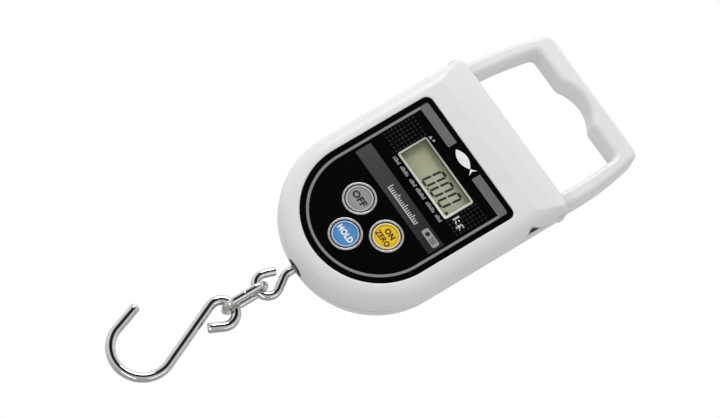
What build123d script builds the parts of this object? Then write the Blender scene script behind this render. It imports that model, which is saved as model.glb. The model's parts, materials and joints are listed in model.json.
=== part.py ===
from build123d import *
from math import cos, radians, sin, sqrt
import os

# Digital hanging scale: a handle, a housing that hangs from it on a steel axle, and a load hook.
# The origin is the middle of the grip's underside, +Z is up, and the display faces -Y.
# Depths, widths and heights of the housing and of the load line are measured from the axle.

# --- handle ---
LEAN = 10.0                # degrees that the handle leans back from the upright
PIVOT_DROP = 46.6          # grip to axle, along the handle
HANDLE_HALF = 35.8         # outer half width beside the axle
HANDLE_TOP_HALF = 30.4     # outer half width at the top
HANDLE_INNER = 29.1        # inner half width beside the axle
HANDLE_INNER_TOP = 26.8    # inner half width under the crossbar
ARM_STRAIGHT = 12.0        # the arms are straight this far above the axle
BAR_UNDER = 42.5           # axle to the crossbar's underside
BAR_TOP = 51.4             # axle to the crossbar's top
SCOOP_HALF = 10.75         # half width of the finger scoop in the underside
SCOOP_SHOULDER = (0.53, 0.27)      # share of the scoop's half width and depth that its arc passes
SCOOP_BLEND = 4.0
TOP_CORNER = 4.5
HANDLE_DEPTH = 11.0
HANDLE_ROUND = 2.2         # on the long outer edges
OPENING_ROUND = 2.0        # on the long edges of the opening
EYE_RADIUS = 6.2
CAP_RADIUS = 5.9
CAP_THICK = 0.8

# --- axle and its bushes ---
AXLE_DIAMETER = 4.0
AXLE_HALF = 34.6
BUSH_DIAMETER = 6.4
RUNNING_GAP = 0.05         # radial clearance of a turning fit
FIT = 0.05                 # clearance round a piece that sits in its own opening
OVERLAP = 0.1              # how far joined shapes reach into each other

# --- housing ---
BODY_HALF = 38.1           # half width at the parting plane, which holds the axle and the rod
BODY_TOP = 12.0
BOWL_Z = -54.5             # centre of the round bottom
CORNER = 4.0
FRONT_DEPTH = 10.5
REAR_DEPTH = 14.0
WALL = 2.0
REAR_WALL = 1.6
EDGE_ROUND = 6.5
REAR_ROUND = 5.0
REAR_DRAFT = 15.0
CREASE_Z = -2.0            # the front leans back above this height
CREASE_SLOPE = 0.12
BROW_Z = 4.5               # a second crease, where the front starts to curve back
BROW_SLOPE = 0.213
BROW_END = (-7.9, 10.6)    # depth and height where the curve tightens
TOP_EDGE = -5.86           # depth where the front meets the level top
CHEEK_HALF = 38.6          # the top corners stand a little proud of the sides
CHEEK_LOW = 5.0
CHEEK_HIGH = 9.5
CHEEK_DEPTH = 5.0
SEAM = 0.3                 # groove round the rear cover at the parting plane
POCKET_IN = 28.2           # the handle's arms turn in pockets between these widths
POCKET_OUT = 36.2
POCKET_FLOOR = -12.4
POCKET_FRONT = -6.8
PARTITION = 1.6
AXLE_HOLE = 2.2
NOTCH = [(0, -12.6), (-8.4, -7.4), (0, 5.0)]       # depth and height of the notch in the sides
NOTCH_ROUND = 1.5
REAR_CHEEK = (5.0, 4.0)    # height and depth to which the rear cover closes the pockets' sides

# --- label, display and buttons ---
LABEL_HALF = 30.0
LABEL_TOP = -10.0
LABEL_BOWL_Z = -55.0
LABEL_CORNER = 3.0
LABEL_THICK = 0.5
LABEL_SINK = 0.6
DISPLAY = (0.6, -27.9)
DISPLAY_SIZE = (32.8, 13.7)
DISPLAY_CORNER = 1.0
DISPLAY_OPEN = (31.0, 12.0)
DISPLAY_REBATE = (31.6, 12.6)
WINDOW_THICK = 0.6
GLASS_SIZE = (32.4, 14.6)
GLASS_THICK = 2.0
STRIP_WIDTH = 2.0
STRIP_INSET = 1.2          # from the glass's long edge to the middle of a strip
BUTTONS = {"off": (-7.85, -57.9), "hold": (1.4, -70.85), "on": (10.65, -57.9)}
RING_RADIUS = 6.8
RING_BORE = 5.95
RING_ROUND = 0.3
CAP_EDGE = 5.45
CAP_ROUND = 0.4
DISH_RADIUS = 4.75         # the caps are sunk inside a narrow rim
DISH_DEPTH = 0.2
DISH_DRAFT = 40.0
CAP_PLAY = 0.15            # from the rings' rear to the caps' flanges
PLUNGER_REST = 0.2         # from a pressed plunger's end to the board
CAP_FLANGE = (6.3, 0.6)    # radius and thickness of the cap's hidden flange
STEM_RADIUS = 2.0
STEM_REAR = -7.4
KEY_TRAVEL = 0.4
BEZEL_CHAMFER = 0.25
PROUD = 0.4                # bezel, rings and caps stand this far out of the front face

# --- board ---
BOARD_FRONT = -5.0
BOARD_THICK = 1.2
BOARD_HALF = 23.0
BOARD_NECK = 14.0
BOARD_TOP = -14.0
BOARD_STEP = -66.0
BOARD_BOTTOM = -80.0
BOARD_POSTS = [(-20, -18), (20, -18), (-20.5, -63.5), (20.5, -63.5)]
SWITCH_SIZE = 6.0
SWITCH_HEIGHT = 1.9
PLUNGER_RADIUS = 1.3
POST_RADIUS = 2.2
BOARD_HOLE = 1.3
BOARD_SCREW = (0.75, 1.9, 1.1)     # thread radius, head radius, head thickness
THREAD_PLAY = 0.05
SCREW_END = 0.4            # from a screw's tip to the end of its hole
CHIPS = {(-11, -45): (10, 10), (9, -45): (5, 4)}
CHIP_THICK = 1.4
CAPACITORS = [(16, -40), (-19, -51.5)]
CAPACITOR = (2.0, 3.0)     # radius and height
BUZZER = (-15, -57)
BUZZER_SIZE = (4.5, 2.6)   # radius and height
BUZZER_HOLE = (0.8, 1.0)   # radius and depth
SOCKET = (19.0, -53.5)
SOCKET_SIZE = (6, 5)
SOCKET_REAR = 1.5

# --- weighing ---
CELL_HALF = 10.0
CELL_FRONT = -3.5
CELL_REAR = 4.5
CELL_TOP = -53.0
CELL_BOTTOM = -86.0
ARM_UPPER = 8.0            # height of the cell's upper arm
ARM_LOWER = 7.0            # height of its lower arm
NUT_GAP = 7.0              # open height above the lower arm
COLUMN = 4.0
SLIT = 1.5                 # open height under the upper arm
FLEX_HOLE = (5, 4.8)       # length between centres and width of the hole that lets the cell bend
GAUGE = (3.2, 6)
GAUGE_X = 6.6
GAUGE_THICK = 0.2
CELL_SCREW_AT = (7.0, 0.5)         # half spacing and depth
CELL_SCREW = (1.45, 2.6, 1.8)      # thread radius, head radius, head thickness
CELL_SCREW_DEEP = 5.5
BRACKET_HOLE = 1.6
FOOT_THICK = 2.0
STRAP_HALF = 4.0
STRAP_TOP = -9.0
YOKE_TOP = -6.0
PLATE_HALF = 1.0           # half the bracket's sheet thickness
EAR_X = 14.0
EAR_THICK = 2.0
EAR_TOP = 5.0
EAR_HALF = 4.5

# --- power ---
CELL_RADIUS = 5.15
BATTERY_HALF = 22.25
BATTERY_Y = 7.1
BATTERY_Z = {"battery_upper": -20.1, "battery_lower": -30.9}
TERMINAL = (1.9, 0.8)      # radius and height of a cell's positive end
CONTACT_AT = 0.7           # from a cell's end to its contact plate
CONTACT_SIZE = 8.5
CONTACT_THICK = 0.5
DIMPLE_RADIUS = 1.5
TUB = (27.4, -39.4, -11.6)         # half width, bottom, top of the battery box
TUB_ROOM = (24.3, -36.5, -14.5)
TUB_FRONT = 1.2
TUB_FLOOR = 1.8
DOOR = (26.1, -38.3, -12.7)
DOOR_FRONT = 12.5
DOOR_GAP = 0.2
GRIP_LINE = (16, 0.9)      # length and width of the grooves that a finger pulls the door by
GRIP_LINES = 4
GRIP_PITCH = 1.6
GRIP_RISE = 5.0            # above the door's lower edge
GRIP_DEEP = 0.5
COVER_SCREWS = [(-30, -24), (30, -24), (-20.5, -73.5), (20.5, -73.5)]
BOSS_RADIUS = 3.1
SCREW_SEAT = 8.0
COVER_SCREW = (1.1, 2.4, 1.7)      # thread radius, head radius, head thickness
SCREW_CLEAR = 1.5
SCREW_WELL = 2.6
CROSS = (3.0, 0.6, 0.9)    # length, width and depth of a screw's cross slot

# --- wiring ---
LEAD = 1.2
LEAD_X = 20.0
LEAD_Y = 5.0
LEAD_Z = -48.2
LEAD_BEND = 3.9
CABLE_BEND = 4.0

# --- load line ---
ROD_WIRE = 3.6
LINK_WIRE = 3.0
HOOK_WIRE = 4.0
WIRE_GAP = 0.15            # slack where one wire hangs on another
END_CHAMFER = 0.4          # on the cut ends of the wires
ROD_THREAD_TOP = -75.2
ROD_THREAD = 3.0
WASHER_RADIUS = 3.5
WASHER_THICK = 0.6
NUT_RADIUS = 3.15          # over the corners
NUT_THICK = 2.4
EYE_Z = -105.0             # centre of the rod's eye
EYE_BEND = 4.7
EYE_TURN = 35.0            # the rod steps aside by this angle before its eye
EYE_STEP_BEND = 5.0
EYE_END = 4.6
EYE_END_LEAN = 18.0
LINK_BEND = 4.5
LINK_LEG = 9.35
HOOK_EYE = 5.5
HOOK_BOW = 12.1
HOOK_EYE_X = 0.6
HOOK_BOW_X = -3.85
HOOK_BOW_DROP = 33.8       # from the hook's eye to the centre of its bow
HOOK_TAIL = 6.3
HOOK_TAIL_LEAN = 26.0
HOOK_TIP = 12.0
HOOK_TIP_LEAN = 18.8
SEAL_RADIUS = 4.25
SEAL_BORE = 2.2
SEAL_TOP = -88.8
SEAL_LIP = 1.3             # the seal's flange is this much wider than its collar
SEAL_FLANGE_THICK = 1.1
SEAL_COLLAR = 1.6

PIVOT_Y = -PIVOT_DROP * sin(radians(LEAN))
PIVOT_Z = -PIVOT_DROP * cos(radians(LEAN))
FAR = 60.0                 # longer than any cut needs to reach

os.makedirs("parts", exist_ok=True)


def front(depth):
    """Upright plane that faces the user, so a positive extrusion comes forward."""
    return Plane(origin=(0, PIVOT_Y + depth, PIVOT_Z), x_dir=(1, 0, 0), z_dir=(0, -1, 0))


def back(depth):
    """Upright plane that faces away from the user, with its x to the left."""
    return Plane(origin=(0, PIVOT_Y + depth, PIVOT_Z), x_dir=(-1, 0, 0), z_dir=(0, 1, 0))


def side(x):
    """Upright plane across the housing that faces +X, with depth and height as its axes."""
    return Plane(origin=(x, PIVOT_Y, PIVOT_Z), x_dir=(0, 1, 0), z_dir=(1, 0, 0))


def level(z):
    """Level plane that faces up, with width and depth as its axes."""
    return Plane(origin=(0, PIVOT_Y, PIVOT_Z + z), x_dir=(1, 0, 0), z_dir=(0, 0, 1))


def write(builder, name):
    """Labels a finished piece and writes it."""
    builder.part.label = name
    export_step(builder.part, f"parts/{name}.step")


def block(half, bottom, top, near, far, mode=Mode.ADD):
    """A block across the middle, between two heights and two depths."""
    with BuildSketch(front(far)) as face:
        with Locations((0, (bottom + top) / 2)):
            Rectangle(2 * half, top - bottom)
    extrude(face.sketch, amount=far - near, mode=mode)


def corner_blocks(inner, outer, bottom, top, near, far, mode=Mode.ADD):
    """The same block at the left and at the right."""
    with BuildSketch(front(far)) as faces:
        with Locations(*[(hand * (inner + outer) / 2, (bottom + top) / 2) for hand in (-1, 1)]):
            Rectangle(outer - inner, top - bottom)
    extrude(faces.sketch, amount=far - near, mode=mode)


def pegs(places, radius, near, far, mode=Mode.ADD):
    """Round pegs or holes through the depth of the housing."""
    with BuildSketch(front(far)) as faces:
        with Locations(*places):
            Circle(radius)
    extrude(faces.sketch, amount=far - near, mode=mode)


def body_outline(inset=0.0):
    """Outline of the housing: straight sides, a round bottom and small top corners."""
    half = BODY_HALF - inset
    top = BODY_TOP - inset
    with BuildSketch() as outline:
        with Locations((0, (top + BOWL_Z) / 2)):
            Rectangle(2 * half, top - BOWL_Z)
        fillet(outline.vertices().group_by(Axis.Y)[-1], CORNER - inset)
        with Locations((0, BOWL_Z)):
            Circle(half)
    return outline.sketch_local


def label_outline(grow=0.0):
    """Outline of the front label."""
    half = LABEL_HALF + grow
    top = LABEL_TOP + grow
    with BuildSketch() as outline:
        with Locations((0, (top + LABEL_BOWL_Z) / 2)):
            Rectangle(2 * half, top - LABEL_BOWL_Z)
        fillet(outline.vertices().group_by(Axis.Y)[-1], LABEL_CORNER)
        with Locations((0, LABEL_BOWL_Z)):
            Circle(half)
    return outline.sketch_local


def flat(vector):
    """A vector's two coordinates in the plane that is drawn on."""
    return (vector.X, vector.Y)


def bend(place, heading, steps):
    """Joins straight runs (length,) and round bends (radius, turn) end to end, as a wire is bent."""
    for step in steps:
        if len(step) == 1:
            end = place + heading * step[0]
            Line(flat(place), flat(end))
        else:
            radius, turn = step
            spoke = Vector(-heading.Y, heading.X) * (radius if turn > 0 else -radius)
            middle = place + spoke - spoke.rotate(Axis.Z, turn / 2)
            end = place + spoke - spoke.rotate(Axis.Z, turn)
            ThreePointArc(flat(place), flat(middle), flat(end))
            heading = heading.rotate(Axis.Z, turn)
        place = end


# --------------------------------------------------------------------------- handle
bail = Plane(
    origin=(0, PIVOT_Y, PIVOT_Z),
    x_dir=(1, 0, 0),
    z_dir=(0, -cos(radians(LEAN)), sin(radians(LEAN))),
)
ARM_MIDDLE = (HANDLE_HALF + HANDLE_INNER) / 2
BAR_MIDDLE = (PIVOT_DROP + BAR_TOP) / 2


def long_edges(outside):
    """Edges of the handle's two broad faces, either round its outside or round its opening."""
    layers = handle.edges().group_by(Axis(bail.origin, bail.z_dir))
    chosen = []
    for edge in layers[0] + layers[-1]:
        spot = bail.to_local_coords(edge.center())
        if (abs(spot.X) > ARM_MIDDLE or spot.Y > BAR_MIDDLE) == outside and spot.Y > EYE_RADIUS:
            chosen.append(edge)
    return chosen


with BuildPart() as handle:
    with BuildSketch(bail) as bow:
        with BuildLine():
            outside = Line((HANDLE_HALF, 0), (HANDLE_HALF, ARM_STRAIGHT))
            flare = TangentArc(outside @ 1, (HANDLE_TOP_HALF, BAR_TOP), tangent=(0, 1))
            top = Line(flare @ 1, (0, BAR_TOP))
            crown = Line(top @ 1, (0, PIVOT_DROP))
            scoop = ThreePointArc(
                crown @ 1,
                (SCOOP_HALF * SCOOP_SHOULDER[0], PIVOT_DROP - SCOOP_SHOULDER[1] * (PIVOT_DROP - BAR_UNDER)),
                (SCOOP_HALF, BAR_UNDER),
            )
            under = Line(scoop @ 1, (HANDLE_INNER_TOP, BAR_UNDER))
            TangentArc((HANDLE_INNER, ARM_STRAIGHT), under @ 1, tangent=(0, 1))
            inside = Line((HANDLE_INNER, ARM_STRAIGHT), (HANDLE_INNER, 0))
            Line(inside @ 1, outside @ 0)
        make_face()
        fillet(bow.vertices().sort_by_distance((HANDLE_TOP_HALF, BAR_TOP))[0], TOP_CORNER)
        fillet(bow.vertices().sort_by_distance((SCOOP_HALF, BAR_UNDER))[0], SCOOP_BLEND)
        fillet(bow.vertices().sort_by_distance((HANDLE_INNER_TOP, BAR_UNDER))[0], TOP_CORNER / 2)
        mirror(about=Plane.YZ)
    extrude(amount=HANDLE_DEPTH / 2, both=True)
    fillet(long_edges(True), HANDLE_ROUND)
    fillet(long_edges(False), OPENING_ROUND)
    for hand in (-1, 1):
        with BuildSketch(side(hand * HANDLE_INNER)):
            Circle(EYE_RADIUS)
        extrude(amount=hand * (HANDLE_HALF - HANDLE_INNER))
        with BuildSketch(side(hand * HANDLE_HALF)):
            Circle(CAP_RADIUS)
        extrude(amount=-hand * CAP_THICK, mode=Mode.SUBTRACT)
        with BuildSketch(side(hand * HANDLE_HALF)):
            Circle(BUSH_DIAMETER / 2)
        extrude(amount=-hand * (HANDLE_HALF - HANDLE_INNER), mode=Mode.SUBTRACT)
write(handle, "handle")

with BuildPart() as pivot_bushes:
    for hand in (-1, 1):
        with BuildSketch(side(hand * HANDLE_INNER)):
            Circle(BUSH_DIAMETER / 2)
            Circle(AXLE_DIAMETER / 2 + RUNNING_GAP, mode=Mode.SUBTRACT)
        extrude(amount=hand * (HANDLE_HALF - CAP_THICK - HANDLE_INNER))
write(pivot_bushes, "pivot_bushes")

with BuildPart() as pivot_caps:
    for hand in (-1, 1):
        with BuildSketch(side(hand * HANDLE_HALF)):
            Circle(CAP_RADIUS)
        extrude(amount=-hand * CAP_THICK)
write(pivot_caps, "pivot_caps")

with BuildPart() as handle_axle:
    with BuildSketch(side(-AXLE_HALF)):
        Circle(AXLE_DIAMETER / 2)
    extrude(amount=2 * AXLE_HALF)
    chamfer(handle_axle.edges(), END_CHAMFER)
write(handle_axle, "handle_axle")

# --------------------------------------------------------------------------- housing
CORE_DROP = POCKET_FLOOR - PARTITION      # top of the room beside the battery box
CORE_HALF = POCKET_IN - PARTITION         # half width of the room between the pockets
ROD_HOLE = SEAL_RADIUS + FIT
SEAL_SEAT = SEAL_TOP - SEAL_FLANGE_THICK
SEAL_FLANGE = SEAL_RADIUS + SEAL_LIP
BROW_Y = -FRONT_DEPTH + CREASE_SLOPE * (BROW_Z - CREASE_Z)


def axle_and_rod_holes():
    """Room for the axle through the pockets' inner walls, and for the rod's seal at the bottom."""
    with BuildSketch(side(-POCKET_IN)) as axle_hole:
        Circle(AXLE_HOLE)
    extrude(axle_hole.sketch, amount=2 * POCKET_IN, mode=Mode.SUBTRACT)
    with BuildSketch(level(SEAL_SEAT - FAR)) as rod_hole:
        Circle(ROD_HOLE)
    extrude(rod_hole.sketch, amount=FAR, mode=Mode.SUBTRACT)
    with BuildSketch(level(SEAL_SEAT)) as flange_room:
        Circle(SEAL_FLANGE + FIT)
    extrude(flange_room.sketch, amount=WALL, mode=Mode.SUBTRACT)


with BuildPart() as front_core:
    with BuildSketch(front(0)):
        add(body_outline(WALL))
    extrude(amount=FRONT_DEPTH - WALL)
    fillet(front_core.edges().group_by(Axis.Y)[0], EDGE_ROUND - WALL)
    corner_blocks(CORE_HALF, FAR, CORE_DROP, FAR, -FRONT_DEPTH, 0, mode=Mode.SUBTRACT)

with BuildPart() as front_cover:
    with BuildSketch(front(0)):
        add(body_outline())
    extrude(amount=FRONT_DEPTH)
    fillet(front_cover.edges().group_by(Axis.Y)[0], EDGE_ROUND)
    with BuildSketch(front(0)):
        with BuildLine():
            bulge = ThreePointArc(
                (BODY_HALF - OVERLAP, CHEEK_LOW),
                (CHEEK_HALF, (CHEEK_LOW + CHEEK_HIGH) / 2),
                (BODY_HALF - OVERLAP, CHEEK_HIGH),
            )
            Polyline(bulge @ 1, (POCKET_OUT, BODY_TOP - CORNER), (POCKET_OUT, CHEEK_LOW), bulge @ 0)
        make_face()
        mirror(about=Plane.YZ)
    extrude(amount=CHEEK_DEPTH)
    with BuildSketch(side(-FAR)):
        with BuildLine():
            lean = Line((-FRONT_DEPTH, CREASE_Z), (BROW_Y, BROW_Z))
            brow = TangentArc(lean @ 1, BROW_END, tangent=(BROW_SLOPE, 1))
            edge = TangentArc(brow @ 1, (TOP_EDGE, BODY_TOP), tangent=brow % 1)
            Polyline(edge @ 1, (TOP_EDGE, FAR), (-FRONT_DEPTH, FAR), lean @ 0)
        make_face()
    extrude(amount=2 * FAR, mode=Mode.SUBTRACT)
    add(front_core.part, mode=Mode.SUBTRACT)
    corner_blocks(POCKET_IN, POCKET_OUT, POCKET_FLOOR, FAR, POCKET_FRONT, 0, mode=Mode.SUBTRACT)
    for hand in (-1, 1):
        with BuildSketch(side(hand * POCKET_OUT)) as notch:
            with BuildLine():
                Polyline(*NOTCH, close=True)
            make_face()
            fillet(notch.vertices().sort_by_distance(NOTCH[1])[0], NOTCH_ROUND)
        extrude(amount=hand * FAR, mode=Mode.SUBTRACT)
    with BuildSketch(front(-FRONT_DEPTH)):
        add(label_outline(2 * FIT))
    extrude(amount=-LABEL_SINK, mode=Mode.SUBTRACT)
    with BuildSketch(front(-FRONT_DEPTH)):
        with Locations(DISPLAY):
            RectangleRounded(DISPLAY_SIZE[0] + 2 * FIT, DISPLAY_SIZE[1] + 2 * FIT, DISPLAY_CORNER + FIT)
        with Locations(*BUTTONS.values()):
            Circle(RING_RADIUS + FIT)
    extrude(amount=-FRONT_DEPTH, mode=Mode.SUBTRACT)
    pegs(COVER_SCREWS, BOSS_RADIUS, WALL / 2 - FRONT_DEPTH, 0)
    pegs(COVER_SCREWS, COVER_SCREW[0] + THREAD_PLAY, 2 * WALL - FRONT_DEPTH, 0, mode=Mode.SUBTRACT)
    pegs(BOARD_POSTS, POST_RADIUS, WALL / 2 - FRONT_DEPTH, BOARD_FRONT)
    pegs(BOARD_POSTS, BOARD_SCREW[0] + THREAD_PLAY, WALL - FRONT_DEPTH, BOARD_FRONT, mode=Mode.SUBTRACT)
    axle_and_rod_holes()
write(front_cover, "front_cover")

with BuildPart() as rear_core:
    with BuildSketch(back(0)):
        add(body_outline(WALL))
    extrude(amount=REAR_DEPTH - REAR_WALL, taper=REAR_DRAFT)
    corner_blocks(CORE_HALF, FAR, CORE_DROP, FAR, 0, REAR_DEPTH, mode=Mode.SUBTRACT)

with BuildPart() as rear_cover:
    with BuildSketch(back(0)):
        add(body_outline())
    extrude(amount=REAR_DEPTH, taper=REAR_DRAFT)
    fillet(rear_cover.edges().group_by(Axis.Y)[-1], REAR_ROUND)
    add(rear_core.part, mode=Mode.SUBTRACT)
    corner_blocks(POCKET_IN, POCKET_OUT, POCKET_FLOOR, FAR, 0, REAR_DEPTH, mode=Mode.SUBTRACT)
    corner_blocks(POCKET_IN, FAR, REAR_CHEEK[0], FAR, 0, REAR_DEPTH, mode=Mode.SUBTRACT)
    corner_blocks(POCKET_IN, FAR, POCKET_FLOOR, FAR, REAR_CHEEK[1], REAR_DEPTH, mode=Mode.SUBTRACT)
    with BuildSketch(back(0)):
        add(body_outline())
        add(body_outline(SEAM), mode=Mode.SUBTRACT)
    extrude(amount=SEAM, mode=Mode.SUBTRACT)
    with BuildSketch(level(NOTCH[0][1])):
        with BuildLine():
            hollow = Line((POCKET_OUT + SEAM, 0), (BODY_HALF, REAR_CHEEK[1]))
            Polyline(hollow @ 1, (FAR, REAR_CHEEK[1]), (FAR, 0), hollow @ 0)
        make_face()
        mirror(about=Plane.YZ)
    extrude(amount=REAR_CHEEK[0] - NOTCH[0][1], mode=Mode.SUBTRACT)
    block(TUB[0], TUB[1], TUB[2], TUB_FRONT, REAR_DEPTH - REAR_WALL)
    pegs(COVER_SCREWS, BOSS_RADIUS, 0, REAR_DEPTH - REAR_WALL + OVERLAP)
    block(TUB_ROOM[0], TUB_ROOM[1], TUB_ROOM[2], TUB_FLOOR, FAR, mode=Mode.SUBTRACT)
    block(DOOR[0] + DOOR_GAP, DOOR[1] - DOOR_GAP, DOOR[2] + DOOR_GAP, DOOR_FRONT, FAR, mode=Mode.SUBTRACT)
    pegs(COVER_SCREWS, SCREW_CLEAR, 0, FAR, mode=Mode.SUBTRACT)
    pegs(COVER_SCREWS, SCREW_WELL, SCREW_SEAT, FAR, mode=Mode.SUBTRACT)
    axle_and_rod_holes()
write(rear_cover, "rear_cover")

with BuildPart() as battery_door:
    block(DOOR[0], DOOR[1], DOOR[2], DOOR_FRONT, REAR_DEPTH)
    with BuildSketch(front(REAR_DEPTH)):
        with Locations((0, DOOR[1] + GRIP_RISE)):
            with GridLocations(1, GRIP_PITCH, 1, GRIP_LINES):
                SlotOverall(*GRIP_LINE)
    extrude(amount=GRIP_DEEP, mode=Mode.SUBTRACT)
write(battery_door, "battery_door")

with BuildPart() as cover_screws:
    thread, head, head_thick = COVER_SCREW
    pegs(COVER_SCREWS, thread, 2 * WALL - FRONT_DEPTH + SCREW_END, SCREW_SEAT)
    pegs(COVER_SCREWS, head, SCREW_SEAT, SCREW_SEAT + head_thick)
    with BuildSketch(front(SCREW_SEAT + head_thick)):
        with Locations(*COVER_SCREWS):
            Rectangle(CROSS[0], CROSS[1])
            Rectangle(CROSS[1], CROSS[0])
    extrude(amount=CROSS[2], mode=Mode.SUBTRACT)
write(cover_screws, "cover_screws")

with BuildPart() as rod_seal:
    with BuildSketch(level(SEAL_SEAT - SEAL_COLLAR)):
        Circle(SEAL_RADIUS)
    extrude(amount=SEAL_COLLAR)
    with BuildSketch(level(SEAL_SEAT)):
        Circle(SEAL_FLANGE)
    extrude(amount=SEAL_TOP - SEAL_SEAT)
    with BuildSketch(level(SEAL_SEAT - SEAL_COLLAR)):
        Circle(SEAL_BORE)
    extrude(amount=FAR, mode=Mode.SUBTRACT)
write(rod_seal, "rod_seal")

# --------------------------------------------------------------------------- label, display, buttons
with BuildPart() as front_label:
    with BuildSketch(front(LABEL_SINK - FRONT_DEPTH)):
        add(label_outline())
        with Locations(DISPLAY):
            RectangleRounded(
                DISPLAY_SIZE[0] + 4 * FIT,
                DISPLAY_SIZE[1] + 4 * FIT,
                DISPLAY_CORNER + 2 * FIT,
                mode=Mode.SUBTRACT,
            )
        with Locations(*BUTTONS.values()):
            Circle(RING_RADIUS + 2 * FIT, mode=Mode.SUBTRACT)
    extrude(amount=LABEL_THICK)
write(front_label, "front_label")

BEZEL_FRONT = -FRONT_DEPTH - PROUD
BEZEL_REAR = WALL - FRONT_DEPTH

with BuildPart() as display_bezel:
    with BuildSketch(front(BEZEL_REAR)):
        with Locations(DISPLAY):
            RectangleRounded(*DISPLAY_SIZE, DISPLAY_CORNER)
    extrude(amount=BEZEL_REAR - BEZEL_FRONT)
    chamfer(display_bezel.edges().group_by(Axis.Y)[0], BEZEL_CHAMFER)
    with BuildSketch(front(BEZEL_REAR)):
        with Locations(DISPLAY):
            Rectangle(*DISPLAY_OPEN)
    extrude(amount=FAR, mode=Mode.SUBTRACT)
    with BuildSketch(front(BEZEL_REAR)):
        with Locations(DISPLAY):
            Rectangle(*DISPLAY_REBATE)
    extrude(amount=WINDOW_THICK, mode=Mode.SUBTRACT)
write(display_bezel, "display_bezel")

with BuildPart() as display_window:
    with BuildSketch(front(BEZEL_REAR)):
        with Locations(DISPLAY):
            Rectangle(*DISPLAY_REBATE)
    extrude(amount=WINDOW_THICK)
write(display_window, "display_window")

GLASS_REAR = BEZEL_REAR + 2 * FIT + GLASS_THICK

with BuildPart() as display_glass:
    with BuildSketch(front(GLASS_REAR)):
        with Locations(DISPLAY):
            Rectangle(*GLASS_SIZE)
    extrude(amount=GLASS_THICK)
write(display_glass, "display_glass")

with BuildPart() as contact_strips:
    with BuildSketch(front(BOARD_FRONT)):
        with Locations(DISPLAY):
            with GridLocations(1, GLASS_SIZE[1] - 2 * STRIP_INSET, 1, 2):
                Rectangle(GLASS_SIZE[0] - 2 * DISPLAY_CORNER, STRIP_WIDTH)
    extrude(amount=BOARD_FRONT - GLASS_REAR)
write(contact_strips, "contact_strips")

with BuildPart() as button_rings:
    with BuildSketch(front(WALL - FRONT_DEPTH)):
        with Locations(*BUTTONS.values()):
            Circle(RING_RADIUS)
            Circle(RING_BORE, mode=Mode.SUBTRACT)
    extrude(amount=WALL + PROUD)
    fillet(button_rings.edges().group_by(Axis.Y)[0], RING_ROUND)
write(button_rings, "button_rings")

CAP_REAR = WALL - FRONT_DEPTH + CAP_PLAY

for name, place in BUTTONS.items():
    with BuildPart() as button:
        with BuildSketch(front(CAP_REAR)):
            with Locations(place):
                Circle(CAP_EDGE)
        extrude(amount=FRONT_DEPTH + PROUD + CAP_REAR)
        fillet(button.edges().group_by(Axis.Y)[0], CAP_ROUND)
        with BuildSketch(front(-FRONT_DEPTH - PROUD)):
            with Locations(place):
                Circle(DISH_RADIUS)
        extrude(amount=-DISH_DEPTH, taper=DISH_DRAFT, mode=Mode.SUBTRACT)
        pegs([place], CAP_FLANGE[0], CAP_REAR, CAP_REAR + CAP_FLANGE[1])
        pegs([place], STEM_RADIUS, CAP_REAR + CAP_FLANGE[1], STEM_REAR)
    write(button, f"{name}_button")
    with BuildPart() as plunger:
        pegs([place], PLUNGER_RADIUS, STEM_REAR, BOARD_FRONT - KEY_TRAVEL - PLUNGER_REST)
    write(plunger, f"{name}_plunger")

# --------------------------------------------------------------------------- board
BOARD_REAR = BOARD_FRONT + BOARD_THICK

with BuildPart() as main_board:
    block(BOARD_HALF, BOARD_STEP, BOARD_TOP, BOARD_FRONT, BOARD_REAR)
    block(BOARD_NECK, BOARD_BOTTOM, BOARD_STEP, BOARD_FRONT, BOARD_REAR)
    pegs(BOARD_POSTS, BOARD_HOLE, BOARD_FRONT, BOARD_REAR, mode=Mode.SUBTRACT)
write(main_board, "main_board")

with BuildPart() as board_screws:
    thread, head, head_thick = BOARD_SCREW
    pegs(BOARD_POSTS, thread, WALL - FRONT_DEPTH + SCREW_END, BOARD_REAR)
    pegs(BOARD_POSTS, head, BOARD_REAR, BOARD_REAR + head_thick)
write(board_screws, "board_screws")

with BuildPart() as tact_switches:
    with BuildSketch(front(BOARD_FRONT)):
        with Locations(*BUTTONS.values()):
            Rectangle(SWITCH_SIZE, SWITCH_SIZE)
            Circle(PLUNGER_RADIUS + RUNNING_GAP, mode=Mode.SUBTRACT)
    extrude(amount=SWITCH_HEIGHT)
write(tact_switches, "tact_switches")

with BuildPart() as board_chips:
    with BuildSketch(front(BOARD_REAR + CHIP_THICK)):
        for place, size in CHIPS.items():
            with Locations(place):
                Rectangle(*size)
    extrude(amount=CHIP_THICK)
write(board_chips, "board_chips")

with BuildPart() as board_capacitors:
    pegs(CAPACITORS, CAPACITOR[0], BOARD_REAR, BOARD_REAR + CAPACITOR[1])
write(board_capacitors, "board_capacitors")

with BuildPart() as buzzer:
    radius, height = BUZZER_SIZE
    hole, deep = BUZZER_HOLE
    pegs([BUZZER], radius, BOARD_REAR, BOARD_REAR + height)
    pegs([BUZZER], hole, BOARD_REAR + height - deep, BOARD_REAR + height, mode=Mode.SUBTRACT)
write(buzzer, "buzzer")

with BuildPart() as sensor_socket:
    with BuildSketch(front(SOCKET_REAR)):
        with Locations(SOCKET):
            Rectangle(*SOCKET_SIZE)
    extrude(amount=SOCKET_REAR - BOARD_REAR)
write(sensor_socket, "sensor_socket")

# --------------------------------------------------------------------------- weighing
MIDDLE_TOP = CELL_TOP - ARM_UPPER - SLIT
MIDDLE_BOTTOM = CELL_BOTTOM + ARM_LOWER + NUT_GAP
MIDDLE = (MIDDLE_TOP + MIDDLE_BOTTOM) / 2
SCREW_PLACES = [(hand * CELL_SCREW_AT[0], CELL_SCREW_AT[1]) for hand in (-1, 1)]

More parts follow.
